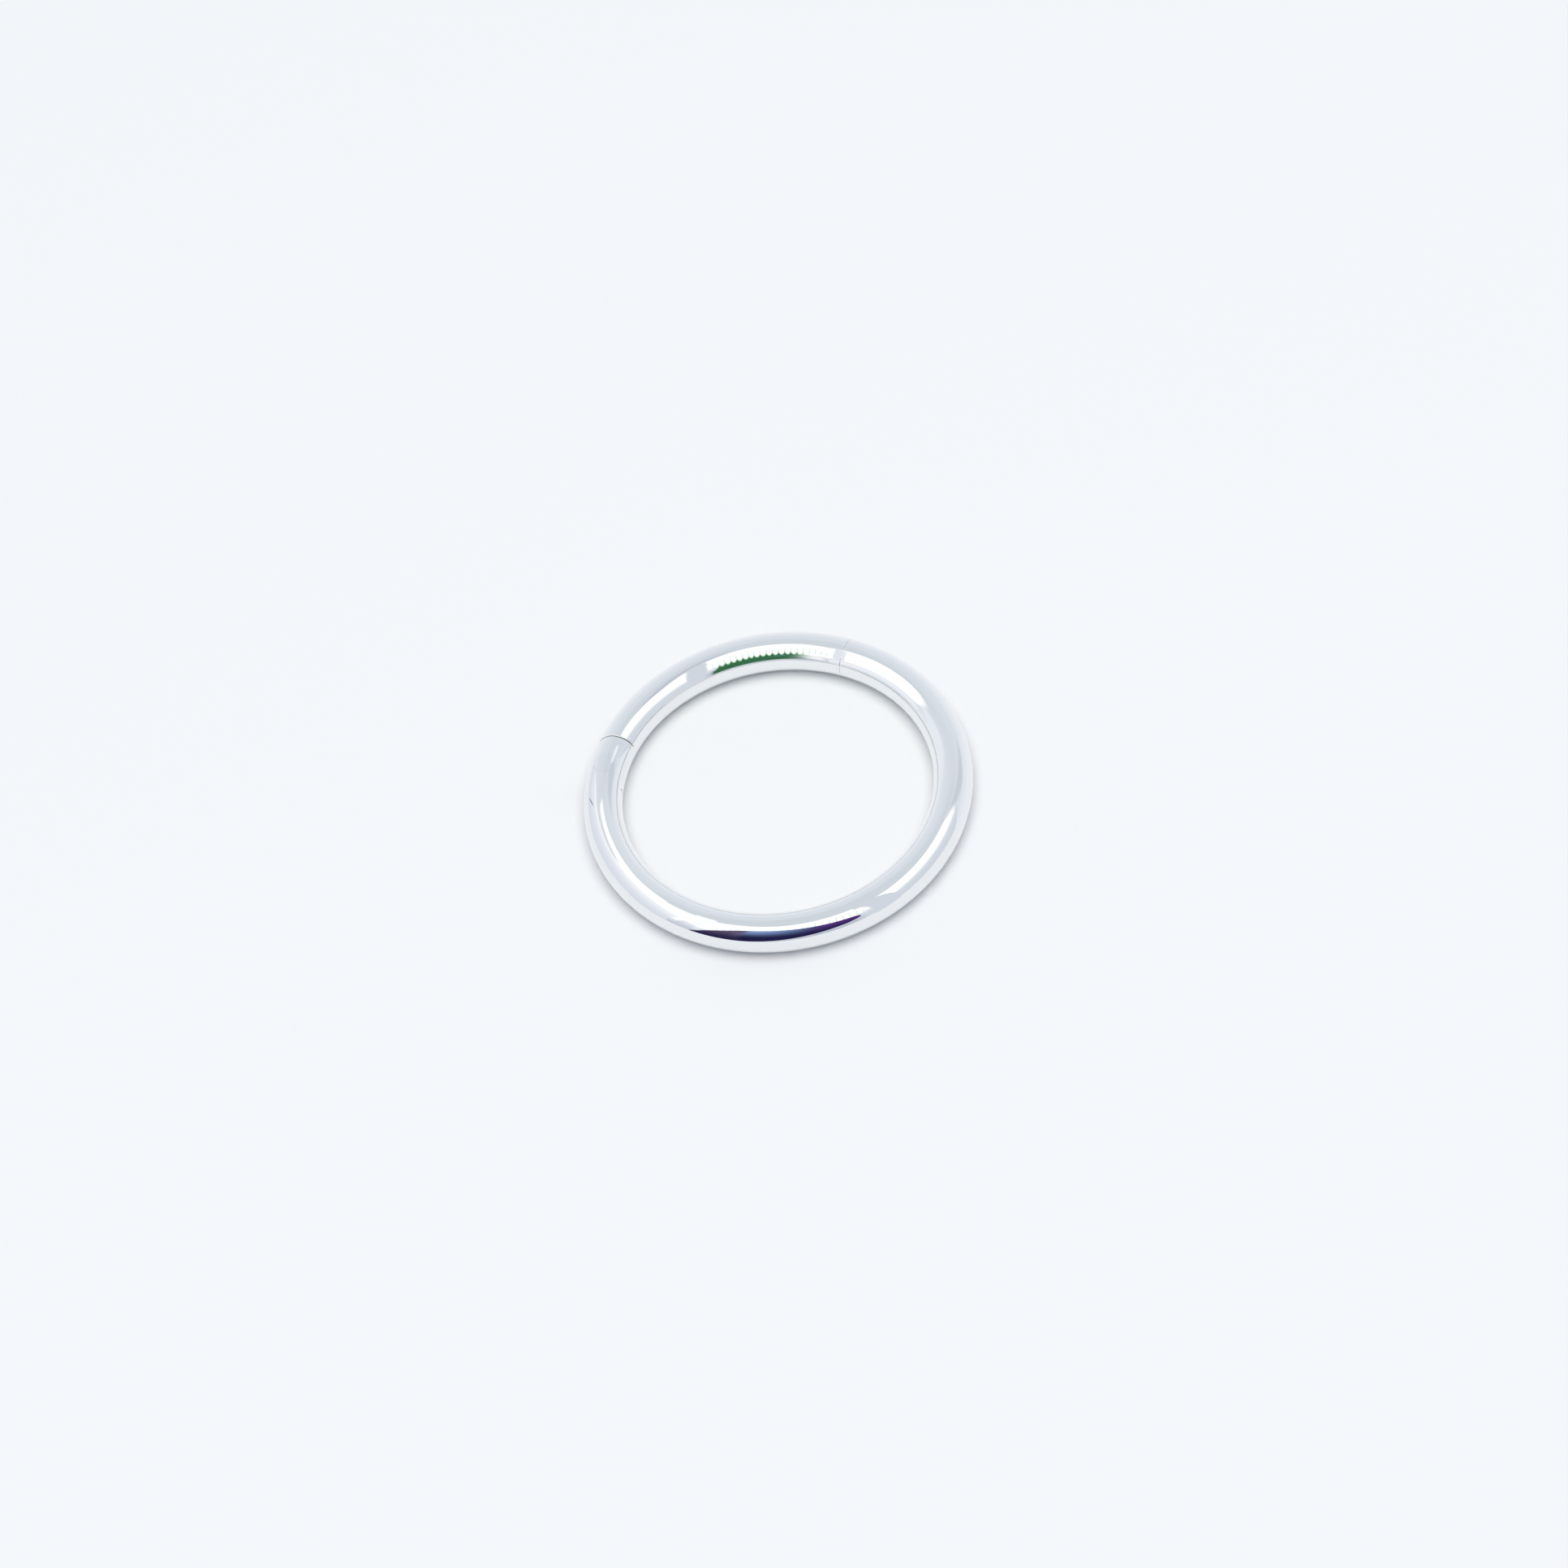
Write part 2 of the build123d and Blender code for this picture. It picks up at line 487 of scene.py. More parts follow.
def tab_slot():
    """Plate that is a gap larger than the tab all round and runs out through the outer side."""
    bm = bmesh.new()
    inner = hoop_radius + wire_radius - tab_depth - tab_gap
    outer = hoop_radius + 2 * wire_radius
    bmesh.ops.create_grid(bm, x_segments=1, y_segments=1, size=0.5)
    bmesh.ops.rotate(bm, verts=bm.verts, matrix=Matrix.Rotation(pi / 2, 3, "X"))
    bmesh.ops.scale(bm, verts=bm.verts, vec=(outer - inner, 1, tab_thickness + 2 * tab_gap))
    bmesh.ops.translate(bm, verts=bm.verts, vec=((outer + inner) / 2, 0, wire_radius))
    bmesh.ops.delete(bm, geom=bm.faces[:], context="FACES_ONLY")
    tip = clasp_angle - arc_degrees(clasp_half_seam + tab_length + tab_gap)
    mouth = clasp_angle + arc_degrees(wire_radius)
    spin_section(bm, tip, mouth)
    for at_mouth in (False, True):
        rim = open_rim(bm, lambda radius, back: tip, lambda radius, back: mouth, at_mouth)
        bmesh.ops.contextual_create(bm, geom=rim)
    bmesh.ops.recalc_face_normals(bm, faces=bm.faces)
    return bm


ring = combine(ring, tab_slot(), "DIFFERENCE")
print("ring faces:", len(ring.faces), "open edges:", sum(not e.is_manifold for e in ring.edges))

# %% [markdown]
# The pin is a bar that is trimmed to the wire's own round, as the real one is ground flush after it
# is pressed in. That leaves it two curved ends, which carry on the wire's reflections.

# %% Pin
pin_radius = 0.30


def pin_trimmed():
    """The part of the pin's bar that lies within the round wire."""
    def before(radius, back):
        return pin_angle - arc_degrees(wire_radius)

    def after(radius, back):
        return pin_angle + arc_degrees(wire_radius)

    round_wire = bend_wire(before, after, hinge_edge_break, hinge_edge_break)
    return combine(round_bar(pin, pin_radius, 4 * wire_radius), round_wire, "INTERSECT")


rivet = pin_trimmed()
for name, bm in (("ring", ring), ("gate", gate), ("pin", rivet)):
    print(name, "faces:", len(bm.faces), "open edges:", sum(not e.is_manifold for e in bm.edges),
          f"volume: {bm.calc_volume():.4f} mm3")

# %% [markdown]
# ## From bmesh to pieces
# Each piece becomes metres here. Its faces are shaded smooth, and edges where two faces meet at
# more than the smoothing angle stay crisp, and so does every edge between the polished wire and a
# cut. All cuts are upright or level, which no facet of the round wire is, so a face's normal tells
# the two apart, and cut faces get the second material. Every piece takes the place of its plain
# node and rides on that node's body.

# %% Pieces in the frame
SMOOTHING_ANGLE = 35.0
POLISHED, CUT = 0, 1
UPRIGHT_SLACK = 0.01
LEVEL_SLACK = 0.0001


def mark_cuts(bm):
    """Sorts the faces into polished wire and cuts, and keeps the edges between them crisp."""
    bm.normal_update()
    for face in bm.faces:
        upright = abs(face.normal.z) < UPRIGHT_SLACK
        level = abs(face.normal.z) > 1 - LEVEL_SLACK
        face.material_index = CUT if upright or level else POLISHED
        face.smooth = True
    for edge in bm.edges:
        finishes = {face.material_index for face in edge.link_faces}
        edge.smooth = len(finishes) == 1 and edge.calc_face_angle(0) < radians(SMOOTHING_ANGLE)


def add_piece(bm, name, node, body):
    """Makes a bmesh in millimetres a piece of the frame and uses it up."""
    mark_cuts(bm)
    print(name, "cut faces:", sum(face.material_index == CUT for face in bm.faces))
    bmesh.ops.scale(bm, verts=bm.verts, vec=(MM, MM, MM))
    mesh = bpy.data.meshes.new(name)
    bm.to_mesh(mesh)
    bm.free()
    piece = bpy.data.objects.new(name, mesh)
    bpy.context.scene.collection.objects.link(piece)
    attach(piece, body)
    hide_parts(node)
    print(name, "triangles:", sum(len(p.vertices) - 2 for p in mesh.polygons))
    return piece


ring_wire = add_piece(ring, "ring_wire", "ring_body", "ring")
gate_wire = add_piece(gate, "gate_wire", "gate_segment", "gate")
hinge_rivet = add_piece(rivet, "hinge_rivet", "hinge_pin", "ring")

# %% [markdown]
# ## Colours and nodes
# Colours are written as on a colour chart, in hex, and made linear for the shaders. One small
# function adds a node of any kind, joins its inputs and gives back an output, so a material reads
# from its coordinates down to its shader.

# %% A colour and a node
def linear(code, strength=1.0):
    """sRGB hex colour as linear values with full opacity, made stronger for a light."""
    channels = [int(code[i:i + 2], 16) / 255 for i in (1, 3, 5)]
    values = [c / 12.92 if c <= 0.04045 else ((c + 0.055) / 1.055)**2.4 for c in channels]
    return [value * strength for value in values] + [1.0]


def add_node(tree, kind, inputs=(), out=0, **settings):
    """Adds a shader node and returns one of its outputs.

    The inputs are (socket, value or another node's output) pairs. The settings are attributes.
    """
    node = tree.nodes.new("ShaderNode" + kind)
    for name, value in settings.items():
        setattr(node, name, value)
    for socket, value in inputs:
        if isinstance(value, bpy.types.NodeSocket):
            tree.links.new(value, node.inputs[socket])
        else:
            node.inputs[socket].default_value = value
    return node.outputs[out]


print("half grey on the chart is", round(linear("#808080")[0], 3), "in linear light")

# %% [markdown]
# ## Mirror-polished surgical steel
# The wire is 316L stainless steel, buffed until it mirrors. A metal this bright has almost no
# colour of its own, only a faint grey. Buffing leaves hair lines that run along the wire and a
# soft unevenness, far too fine to see one by one: they only blur reflections a little, more in
# some places than in others. The real lines are about 2 microns apart. Here they are drawn
# 20 microns apart, so that the render can show them at all.
#
# The steel is one Principled shader. Two noises in Object coordinates drive it: hair lines, which
# are stretched along the wire by giving the noise the radius and the height as its first two
# axes, and soft patches about a millimetre across.

# %% Polished steel
LINE_SPACING = 0.02
LINE_DEPTH = 0.00004
PATCH_SIZE = 1.2
PATCH_DEPTH = 0.0004
NOISE_LOW, NOISE_HIGH = 0.35, 0.65


def polished_steel(name, colour, roughness, spread, seed):
    """Material of the buffed wire, and its Object coordinates for what is added to it."""
    material = bpy.data.materials.new(name)
    material.use_nodes = True
    tree = material.node_tree
    shader = tree.nodes["Principled BSDF"]
    shader.inputs["Base Color"].default_value = linear(colour)
    shader.inputs["Metallic"].default_value = 1.0
    place = add_node(tree, "TexCoord", out="Object")
    x = add_node(tree, "SeparateXYZ", [(0, place)], out="X")
    y = add_node(tree, "SeparateXYZ", [(0, place)], out="Y")
    z = add_node(tree, "SeparateXYZ", [(0, place)], out="Z")
    flat = add_node(tree, "CombineXYZ", [("X", x), ("Y", y)])
    radius = add_node(tree, "VectorMath", [(0, flat)], out="Value", operation="LENGTH")
    lines_at = add_node(tree, "CombineXYZ", [("X", radius), ("Y", z)])
    lines = add_node(tree, "TexNoise", [("Vector", lines_at), ("Scale", 1 / (LINE_SPACING * MM)),
                                        ("W", seed), ("Detail", 2.0)], noise_dimensions="4D")
    patches = add_node(tree, "TexNoise", [("Vector", place), ("Scale", 1 / (PATCH_SIZE * MM)),
                                          ("W", seed), ("Detail", 3.0)], noise_dimensions="4D")
    rough = add_node(tree, "MapRange",
                     [("Value", patches), ("From Min", NOISE_LOW), ("From Max", NOISE_HIGH),
                      ("To Min", roughness - spread), ("To Max", roughness + spread)])
    soft = add_node(tree, "Bump", [("Height", patches), ("Strength", 1.0),
                                   ("Distance", PATCH_DEPTH * MM)])
    bump = add_node(tree, "Bump", [("Height", lines), ("Strength", 1.0),
                                   ("Distance", LINE_DEPTH * MM), ("Normal", soft)])
    tree.links.new(rough, shader.inputs["Roughness"])
    tree.links.new(bump, shader.inputs["Normal"])
    return material, place


print(f"hair lines {LINE_SPACING * 1000:.0f} microns apart, patches {PATCH_SIZE} mm across")

# %% [markdown]
# The ring also has one short dark mark on its shoulder, near the hinge. It is painted into the steel's
# colour as a darker grey, so the wire mirrors less there. It is a tiny ellipsoid. A Mapping node moves,
# turns and scales the coordinates so that it becomes a ball round the origin, and a spherical gradient
# fills the ball.

# %% Dark mark, painted into the colour
dark_mark_angle, dark_mark_shoulder, dark_mark_tilt = 174.7, 60.0, 20.0
dark_mark_length, dark_mark_width = 0.42, 0.036
dark_mark_depth = 0.036
DARK_MARK_CORE = 0.5


def add_dark_mark(material, place):
    """Short dark mark across the shoulder of the wire, painted into the steel's colour."""
    tree = material.node_tree
    shader = tree.nodes["Principled BSDF"]
    steel_colour = list(shader.inputs["Base Color"].default_value)
    middle, outward = on_skin(dark_mark_angle, dark_mark_shoulder)
    tangent = UP.cross(outward).normalized()
    tilt = radians(dark_mark_tilt)
    long_way = tangent * cos(tilt) + outward.cross(tangent) * sin(tilt)
    turned = Matrix((long_way, outward.cross(long_way), outward)).transposed()
    ball = add_node(tree, "Mapping",
                    [("Vector", place), ("Location", middle * MM), ("Rotation", turned.to_euler()),
                     ("Scale", (dark_mark_length / 2 * MM, dark_mark_width / 2 * MM, dark_mark_depth * MM))],
                    vector_type="TEXTURE")
    depth = add_node(tree, "TexGradient", [("Vector", ball)], gradient_type="SPHERICAL")
    mask = add_node(tree, "MapRange", [("Value", depth), ("From Max", DARK_MARK_CORE)])
    # Painted mark: inside the ball, the steel's colour is mixed with a darker grey, so the wire mirrors
    # less there.
    darkened = add_node(tree, "Mix", [(0, mask), (6, steel_colour), (7, linear("#8D8F96"))], out=2,
                     data_type="RGBA")
    tree.links.new(darkened, shader.inputs["Base Color"])
    print("dark mark at", [round(value, 2) for value in middle], "mm")


# %% [markdown]
# The faces that were sawn, milled or drilled are left as the tool made them: grey and dull, with
# fine marks. The saw and the cutters turn level, so the marks run level too. They are about 10
# microns apart on the real ring and are drawn at 25, to show at all.

# %% Sawn and drilled steel
MARK_SPACING = 0.025
MARK_DEPTH = 0.002
MARK_STRETCH = 20


def sawn_steel():
    """Material of all the cuts."""
    material = bpy.data.materials.new("sawn_316L")
    material.use_nodes = True
    tree = material.node_tree
    shader = tree.nodes["Principled BSDF"]
    shader.inputs["Metallic"].default_value = 1.0
    shader.inputs["Roughness"].default_value = 0.38
    place = add_node(tree, "TexCoord", out="Object")
    marks_at = add_node(tree, "Mapping",
                        [("Vector", place), ("Scale", (1 / MARK_STRETCH, 1 / MARK_STRETCH, 1.0))])
    marks = add_node(tree, "TexNoise", [("Vector", marks_at), ("Scale", 1 / (MARK_SPACING * MM)),
                                        ("Detail", 2.0)])
    tone = add_node(tree, "Mix", [(0, marks), (6, linear("#A9ABAE")), (7, linear("#D2D4D7"))],
                    out=2, data_type="RGBA")
    bump = add_node(tree, "Bump", [("Height", marks), ("Strength", 1.0),
                                   ("Distance", MARK_DEPTH * MM)])
    tree.links.new(tone, shader.inputs["Base Color"])
    tree.links.new(bump, shader.inputs["Normal"])
    return material


sawn = sawn_steel()
print("cuts get", sawn.name)

# %% [markdown]
# Each piece gets its own polish first and the cut finish second, in the order that the faces were
# sorted in. The seeds differ, so the pattern of one piece doesn't carry on across a seam.

# %% Finishes on the pieces
for piece, name, colour, roughness, spread, seed in (
        (ring_wire, "mirror_polished_316L_ring", "#F2F3F4", 0.045, 0.02, 1.0),
        (gate_wire, "mirror_polished_316L_gate", "#F2F3F4", 0.045, 0.02, 5.0),
        (hinge_rivet, "ground_flush_316L_pin", "#F0F1F3", 0.05, 0.02, 9.0)):
    material, place = polished_steel(name, colour, roughness, spread, seed)
    piece.data.materials.append(material)
    piece.data.materials.append(sawn)
    if piece is ring_wire:
        add_dark_mark(material, place)
    print(piece.name, "gets", name)

# %% [markdown]
# ## The camera
# The photograph was taken from about 145 mm away with a long lens, looking down at 52 degrees and
# turned a little about its own axis. These values come from fitting a camera to the hoop's
# outline: the hoop's centre has to land on the same pixel as in the photograph.

# %% Camera at the photograph's viewing angle
PHOTO_SIDE = 1932
focal_pixels = 7000.0
centre_pixel = (958.39, 972.50)
camera_distance = 144.95
camera_elevation = 52.18
camera_roll = -11.20

elevation, roll = radians(camera_elevation), radians(camera_roll)
forward = Vector((0, cos(elevation), -sin(elevation)))
right = Vector((1, 0, 0))
up = right.cross(forward)
right, up = right * cos(roll) + up * sin(roll), up * cos(roll) - right * sin(roll)
half = PHOTO_SIDE / 2
ray = forward + right * ((centre_pixel[0] - half) / focal_pixels) \
    + up * ((half - centre_pixel[1]) / focal_pixels)
seat = UP * wire_radius - ray.normalized() * camera_distance

camera_data = bpy.data.cameras.new("camera")
camera_data.sensor_width = 36.0
camera_data.lens = camera_data.sensor_width * focal_pixels / PHOTO_SIDE
camera_data.clip_start, camera_data.clip_end = 0.01, 5.0
camera = bpy.data.objects.new("camera", camera_data)
bpy.context.scene.collection.objects.link(camera)
turn = Matrix((right, up, -forward)).transposed()
camera.matrix_world = Matrix.Translation(seat * MM) @ turn.to_4x4()
bpy.context.scene.camera = camera
print(f"lens {camera_data.lens:.2f} mm, {camera_distance} mm from the hoop")

# %% [markdown]
# ## The table and the light
# The ring lies on a plain white board. It is matt, so it shows no mirror image of the ring, only
# the soft shadow under it.

# %% Floor
FLOOR_RADIUS = 1.5
FLOOR_GAP = 0.002

floor_bm = bmesh.new()
bmesh.ops.create_circle(floor_bm, cap_ends=True, segments=128, radius=FLOOR_RADIUS)
floor_mesh = bpy.data.meshes.new("floor")
floor_bm.to_mesh(floor_mesh)
floor_bm.free()
floor = bpy.data.objects.new("floor", floor_mesh)
floor.location.z = -FLOOR_GAP * MM
bpy.context.scene.collection.objects.link(floor)
board = bpy.data.materials.new("matt_white_board")
board.use_nodes = True
board_shader = board.node_tree.nodes["Principled BSDF"]
board_shader.inputs["Base Color"].default_value = linear("#EDF0F3")
board_shader.inputs["Roughness"].default_value = 0.9
board_shader.inputs["Specular IOR Level"].default_value = 0.0
floor.data.materials.append(board)
print(f"board {2 * FLOOR_RADIUS} m across")

# %% [markdown]
# A wide soft light hangs almost straight above the ring, so the shadow stays close to the wire. Its
# size and place are in metres. The steel doesn't mirror this light: what it mirrors comes next.

# %% Soft light
LIGHT_POWER = 5.25
LIGHT_ACROSS = 0.80
LIGHT_PLACE = (0.03, -0.16, 0.84)

light_data = bpy.data.lights.new("soft_light", "AREA")
light_data.shape, light_data.size, light_data.energy = "DISK", LIGHT_ACROSS, LIGHT_POWER
light_data.color = (1.0, 0.997, 0.95)
light = bpy.data.objects.new("soft_light", light_data)
light.location = LIGHT_PLACE
light.rotation_euler = light.location.to_track_quat("Z", "Y").to_euler()
light.visible_glossy = False
bpy.context.scene.collection.objects.link(light)
print(f"soft light at {light.location.length * 1000:.0f} mm, {LIGHT_POWER} W")

# %% [markdown]
# ## The room that the ring mirrors
# A small photo tent stands round the ring: white cloth above and towards the camera, with a grey
# slit along the back of its roof, and a light grey far side. A mirror shows it all, squeezed into
# thin bands. The room is far away next to the ring, so each part of it is a range of directions:
# the angle round from the camera's side, the height above the table, or how far a direction lies
# to the right and to the back for each step up.

# %% Directions
LEAST_RISE = 0.001

world = bpy.data.worlds.new("tent")
bpy.context.scene.world = world
world.use_nodes = True
tree = world.node_tree
view = add_node(tree, "TexCoord", out="Generated")
east = add_node(tree, "SeparateXYZ", [(0, view)], out="X")
north = add_node(tree, "SeparateXYZ", [(0, view)], out="Y")
high = add_node(tree, "SeparateXYZ", [(0, view)], out="Z")
above = add_node(tree, "Math", [(0, high), (1, LEAST_RISE)], operation="MAXIMUM")
south = add_node(tree, "Math", [(0, north), (1, -1.0)], operation="MULTIPLY")
turn_rad = add_node(tree, "Math", [(0, east), (1, south)], operation="ARCTAN2")
rise_rad = add_node(tree, "Math", [(0, high)], operation="ARCSINE")
round_deg = add_node(tree, "Math", [(0, turn_rad)], operation="DEGREES")
height_deg = add_node(tree, "Math", [(0, rise_rad)], operation="DEGREES")
rightward = add_node(tree, "Math", [(0, east), (1, above)], operation="DIVIDE")
backward = add_node(tree, "Math", [(0, north), (1, above)], operation="DIVIDE")
print("nodes that measure a direction:", len(tree.nodes))

# %% [markdown]
# More measures follow from these. The left side of the tent is brighter low down, as if it stood
# higher. The edge of the roof lies further back on the left. And a seam of the cloth runs straight
# across the ring's wire in the mirror: all directions that a point of the hoop sends to the
# camera's side lie in one plane, so the seam is an angle about the camera's own direction. The
# ribs of the cloth repeat with that angle, and the green board's fringe follows them.

# %% Measures that follow
RIB_DEGREES = 1.1

left_lift = add_node(tree, "MapRange",
                     [("Value", round_deg), ("From Min", 5.0), ("From Max", -35.0), ("To Max", 12.0)],
                     interpolation_type="SMOOTHSTEP")
lifted_deg = add_node(tree, "Math", [(0, height_deg), (1, left_lift)], operation="ADD")
right_shift = add_node(tree, "MapRange",
                       [("Value", rightward), ("From Min", -0.05), ("From Max", 0.05), ("To Max", 0.15)],
                       interpolation_type="SMOOTHSTEP")
roof_back = add_node(tree, "Math", [(0, backward), (1, right_shift)], operation="ADD")
to_camera = add_node(tree, "Math", [(0, north), (1, cos(elevation))], operation="SUBTRACT")
seam_slope = add_node(tree, "Math", [(0, to_camera), (1, east)], operation="DIVIDE")
seam_rad = add_node(tree, "Math", [(0, seam_slope)], operation="ARCTANGENT")
seam_deg = add_node(tree, "Math", [(0, seam_rad)], operation="DEGREES")
teeth = add_node(tree, "Math", [(0, seam_deg), (1, RIB_DEGREES)], operation="PINGPONG")
sharp_teeth = add_node(tree, "Math", [(0, teeth), (1, 2.0)], operation="POWER")
fringe_deg = add_node(tree, "Math", [(0, sharp_teeth), (1, -13.0), (2, height_deg)],
                      operation="MULTIPLY_ADD")
print("a rib every", 2 * RIB_DEGREES, "degrees")

# %% [markdown]
# Every row of the table is one layer of the tent, painted over the ones before it: its name, its
# colour and the fades that bound it. A fade goes from 0 at its first value to 1 at its second.

# %% Layers of the room
GREEN = "#386A48"
CLOTH_STRENGTH = 1.2
ROOM_STRENGTH = 1.12
TENT = [
    ("far side", "#D9DEE4", [(height_deg, 5, 32)]),
    ("far side, high", "#CED5DB", [(height_deg, 32, 70)]),
    ("far side, left", "#E6EAF0", [(round_deg, -110, -120), (round_deg, -150, -136),
                                   (height_deg, 46, 38)]),
    ("far side, right", "#C7CDD6", [(round_deg, 110, 118), (round_deg, 140, 128),
                                    (height_deg, 22, 28)]),
    ("camera side, low", "#BCC2CD", [(roof_back, 0.66, 0.54)]),
    ("camera side, right", "#CFD5DD", [(roof_back, 0.66, 0.54), (round_deg, 24, 32)]),
    ("camera side, middle", "#D4DAE1", [(roof_back, 0.66, 0.54), (lifted_deg, 16, 28)]),
    ("white cloth", "#FFFFFF", [(roof_back, 0.66, 0.54), (lifted_deg, 29, 46)]),
    ("ribs of the cloth", "#CFE8D8", [(sharp_teeth, 0.4, 1.2), (height_deg, 30, 40),
                                      (height_deg, 76, 62), (round_deg, -60, -50),
                                      (round_deg, 42, 32)]),
    ("roof slit", "#CED5DB", [(backward, 0.05, 0.15), (backward, 0.75, 0.65),
                              (rightward, -0.31, -0.25), (rightward, 0.42, 0.36)]),
    ("roof slit, near edge", "#BEC3CE", [(backward, 0.05, 0.15), (backward, 0.42, 0.30),
                                         (rightward, 0.0, 0.12), (rightward, 0.42, 0.36)]),
    ("seam of the cloth", "#E1E5ED", [(seam_deg, 55.8, 56.2), (seam_deg, 60.6, 60.2),
                                      (height_deg, 7, 9), (north, 0.18, 0.12)]),
    ("strip overhead", "#CED5DB", [(seam_deg, -74.6, -74.2), (seam_deg, -66.2, -66.6),
                                   (backward, -0.34, -0.27), (backward, 0.20, 0.12)]),
    ("green fringe", "#9BD8A6", [(round_deg, -38, -22), (round_deg, 23, 21.5),
                                 (height_deg, 15, 19), (fringe_deg, 37, 31)]),
    ("green board", GREEN, [(round_deg, -38, -22), (round_deg, 23, 21.5), (height_deg, 15, 19),
                            (fringe_deg, 32, 27)]),
]

shade = add_node(tree, "RGB")
shade.default_value = linear("#E2E7EE", ROOM_STRENGTH)
for name, colour, fades in TENT:
    mask = 1.0
    for measure, nothing, all_of_it in fades:
        fade = add_node(tree, "MapRange", [("Value", measure), ("From Min", nothing),
                                           ("From Max", all_of_it)],
                        interpolation_type="SMOOTHSTEP")
        mask = add_node(tree, "Math", [(0, fade), (1, mask)], operation="MULTIPLY")
    strength = CLOTH_STRENGTH if name == "white cloth" else ROOM_STRENGTH
    shade = add_node(tree, "Mix", [(0, mask), (6, shade), (7, linear(colour, strength))], out=2,
                     data_type="RGBA")
    print("tent:", name)

# %% [markdown]
# Only what the steel mirrors needs this detail. The matt table gets a plain soft light instead, a
# little blue, and weaker from low down on the camera's side. So the shadow is dark in front of the
# ring and faint at its sides. The Light Path node tells the two apart.

# %% One world for the mirror, one for the rest
fill_height = add_node(tree, "MapRange", [("Value", high), ("From Max", 0.9)],
                       interpolation_type="SMOOTHSTEP")
far_or_side = add_node(tree, "MapRange", [("Value", north), ("From Min", -0.7), ("From Max", 0.0)],
                       interpolation_type="SMOOTHSTEP")
low_fill = add_node(tree, "Mix", [(0, far_or_side), (6, linear("#9294AB")), (7, linear("#B6B8C8"))],
                    out=2, data_type="RGBA")
fill = add_node(tree, "Mix", [(0, fill_height), (6, low_fill), (7, linear("#BCBCBE"))], out=2,
                data_type="RGBA")
room_light = add_node(tree, "Background", [("Color", shade), ("Strength", 1.0)])
fill_light = add_node(tree, "Background", [("Color", fill), ("Strength", 1.0)])
mirrored = add_node(tree, "LightPath", out="Is Glossy Ray")
both = add_node(tree, "MixShader", [(0, mirrored), (1, fill_light), (2, room_light)])
tree.links.new(both, tree.nodes["World Output"].inputs["Surface"])
bpy.context.scene.view_settings.view_transform = "Standard"
print("world nodes:", len(tree.nodes))

# %% [markdown]
# ## Cards close to the ring
# Some things stand so near that the ring's two sides mirror them in different places. A directions
# table can't do that, so they are real flat cards, as a product photographer sets them up. They
# are seen by mirror rays alone and cast no shadow.

# %% A flat card
ROUNDING_STEPS = 5


def add_card(name, corners, rounding=0.0, facing=(0, 1, 0)):
    """Flat card from its corners in millimetres, with its corners rounded, and facing one way."""
    bm = bmesh.new()
    face = bm.faces.new([bm.verts.new(Vector(corner) * MM) for corner in corners])
    bm.normal_update()
    if face.normal.dot(Vector(facing)) < 0:
        bmesh.ops.reverse_faces(bm, faces=[face])
    if rounding:
        bmesh.ops.bevel(bm, geom=bm.verts[:], offset=rounding * MM, segments=ROUNDING_STEPS,
                        affect="VERTICES", profile=0.5, material=-1)
    mesh = bpy.data.meshes.new(name)
    bm.to_mesh(mesh)
    bm.free()
    card = bpy.data.objects.new(name, mesh)
    bpy.context.scene.collection.objects.link(card)
    card.visible_camera = card.visible_diffuse = card.visible_shadow = False
    card.visible_transmission = card.visible_volume_scatter = False
    print(name, "has", len(mesh.vertices), "corners")
    return card


# %% [markdown]
# A card glows softly by itself. Its layers are painted over one another like the tent's, with fades
# along X and upwards. Where only its front may show, a Geometry node makes the back clear.

# %% A card's glow
def glow(card, colour, layers=(), back_shows=True):
    """Gives a card a colour that its layers change along X and upwards, in millimetres."""
    material = bpy.data.materials.new(card.name)
    material.use_nodes = True
    tree = material.node_tree
    tree.nodes.remove(tree.nodes["Principled BSDF"])
    place = add_node(tree, "TexCoord", out="Object")
    axes = {axis: add_node(tree, "SeparateXYZ", [(0, place)], out=axis) for axis in "XZ"}
    shade = linear(colour, ROOM_STRENGTH)
    for over, amount, fades in layers:
        mask = amount
        for axis, nothing, all_of_it in fades:
            fade = add_node(tree, "MapRange", [("Value", axes[axis]), ("From Min", nothing * MM),
                                               ("From Max", all_of_it * MM)],
                            interpolation_type="SMOOTHSTEP")
            mask = add_node(tree, "Math", [(0, fade), (1, mask)], operation="MULTIPLY")
        shade = add_node(tree, "Mix", [(0, mask), (6, shade), (7, linear(over, ROOM_STRENGTH))],
                         out=2, data_type="RGBA")
    light = add_node(tree, "Emission", [("Color", shade), ("Strength", 1.0)])
    if not back_shows:
        behind = add_node(tree, "NewGeometry", out="Backfacing")
        clear = add_node(tree, "BsdfTransparent")
        light = add_node(tree, "MixShader", [(0, behind), (1, light), (2, clear)])
    tree.links.new(light, tree.nodes["Material Output"].inputs["Surface"])
    card.data.materials.append(material)
    print(card.name, "glows", colour, "with", len(layers), "layers")


# %% [markdown]
# A dark card stands in front of the ring and gives the steel its deep curved line. Its outline is
# measured along the table from its left end, and up.

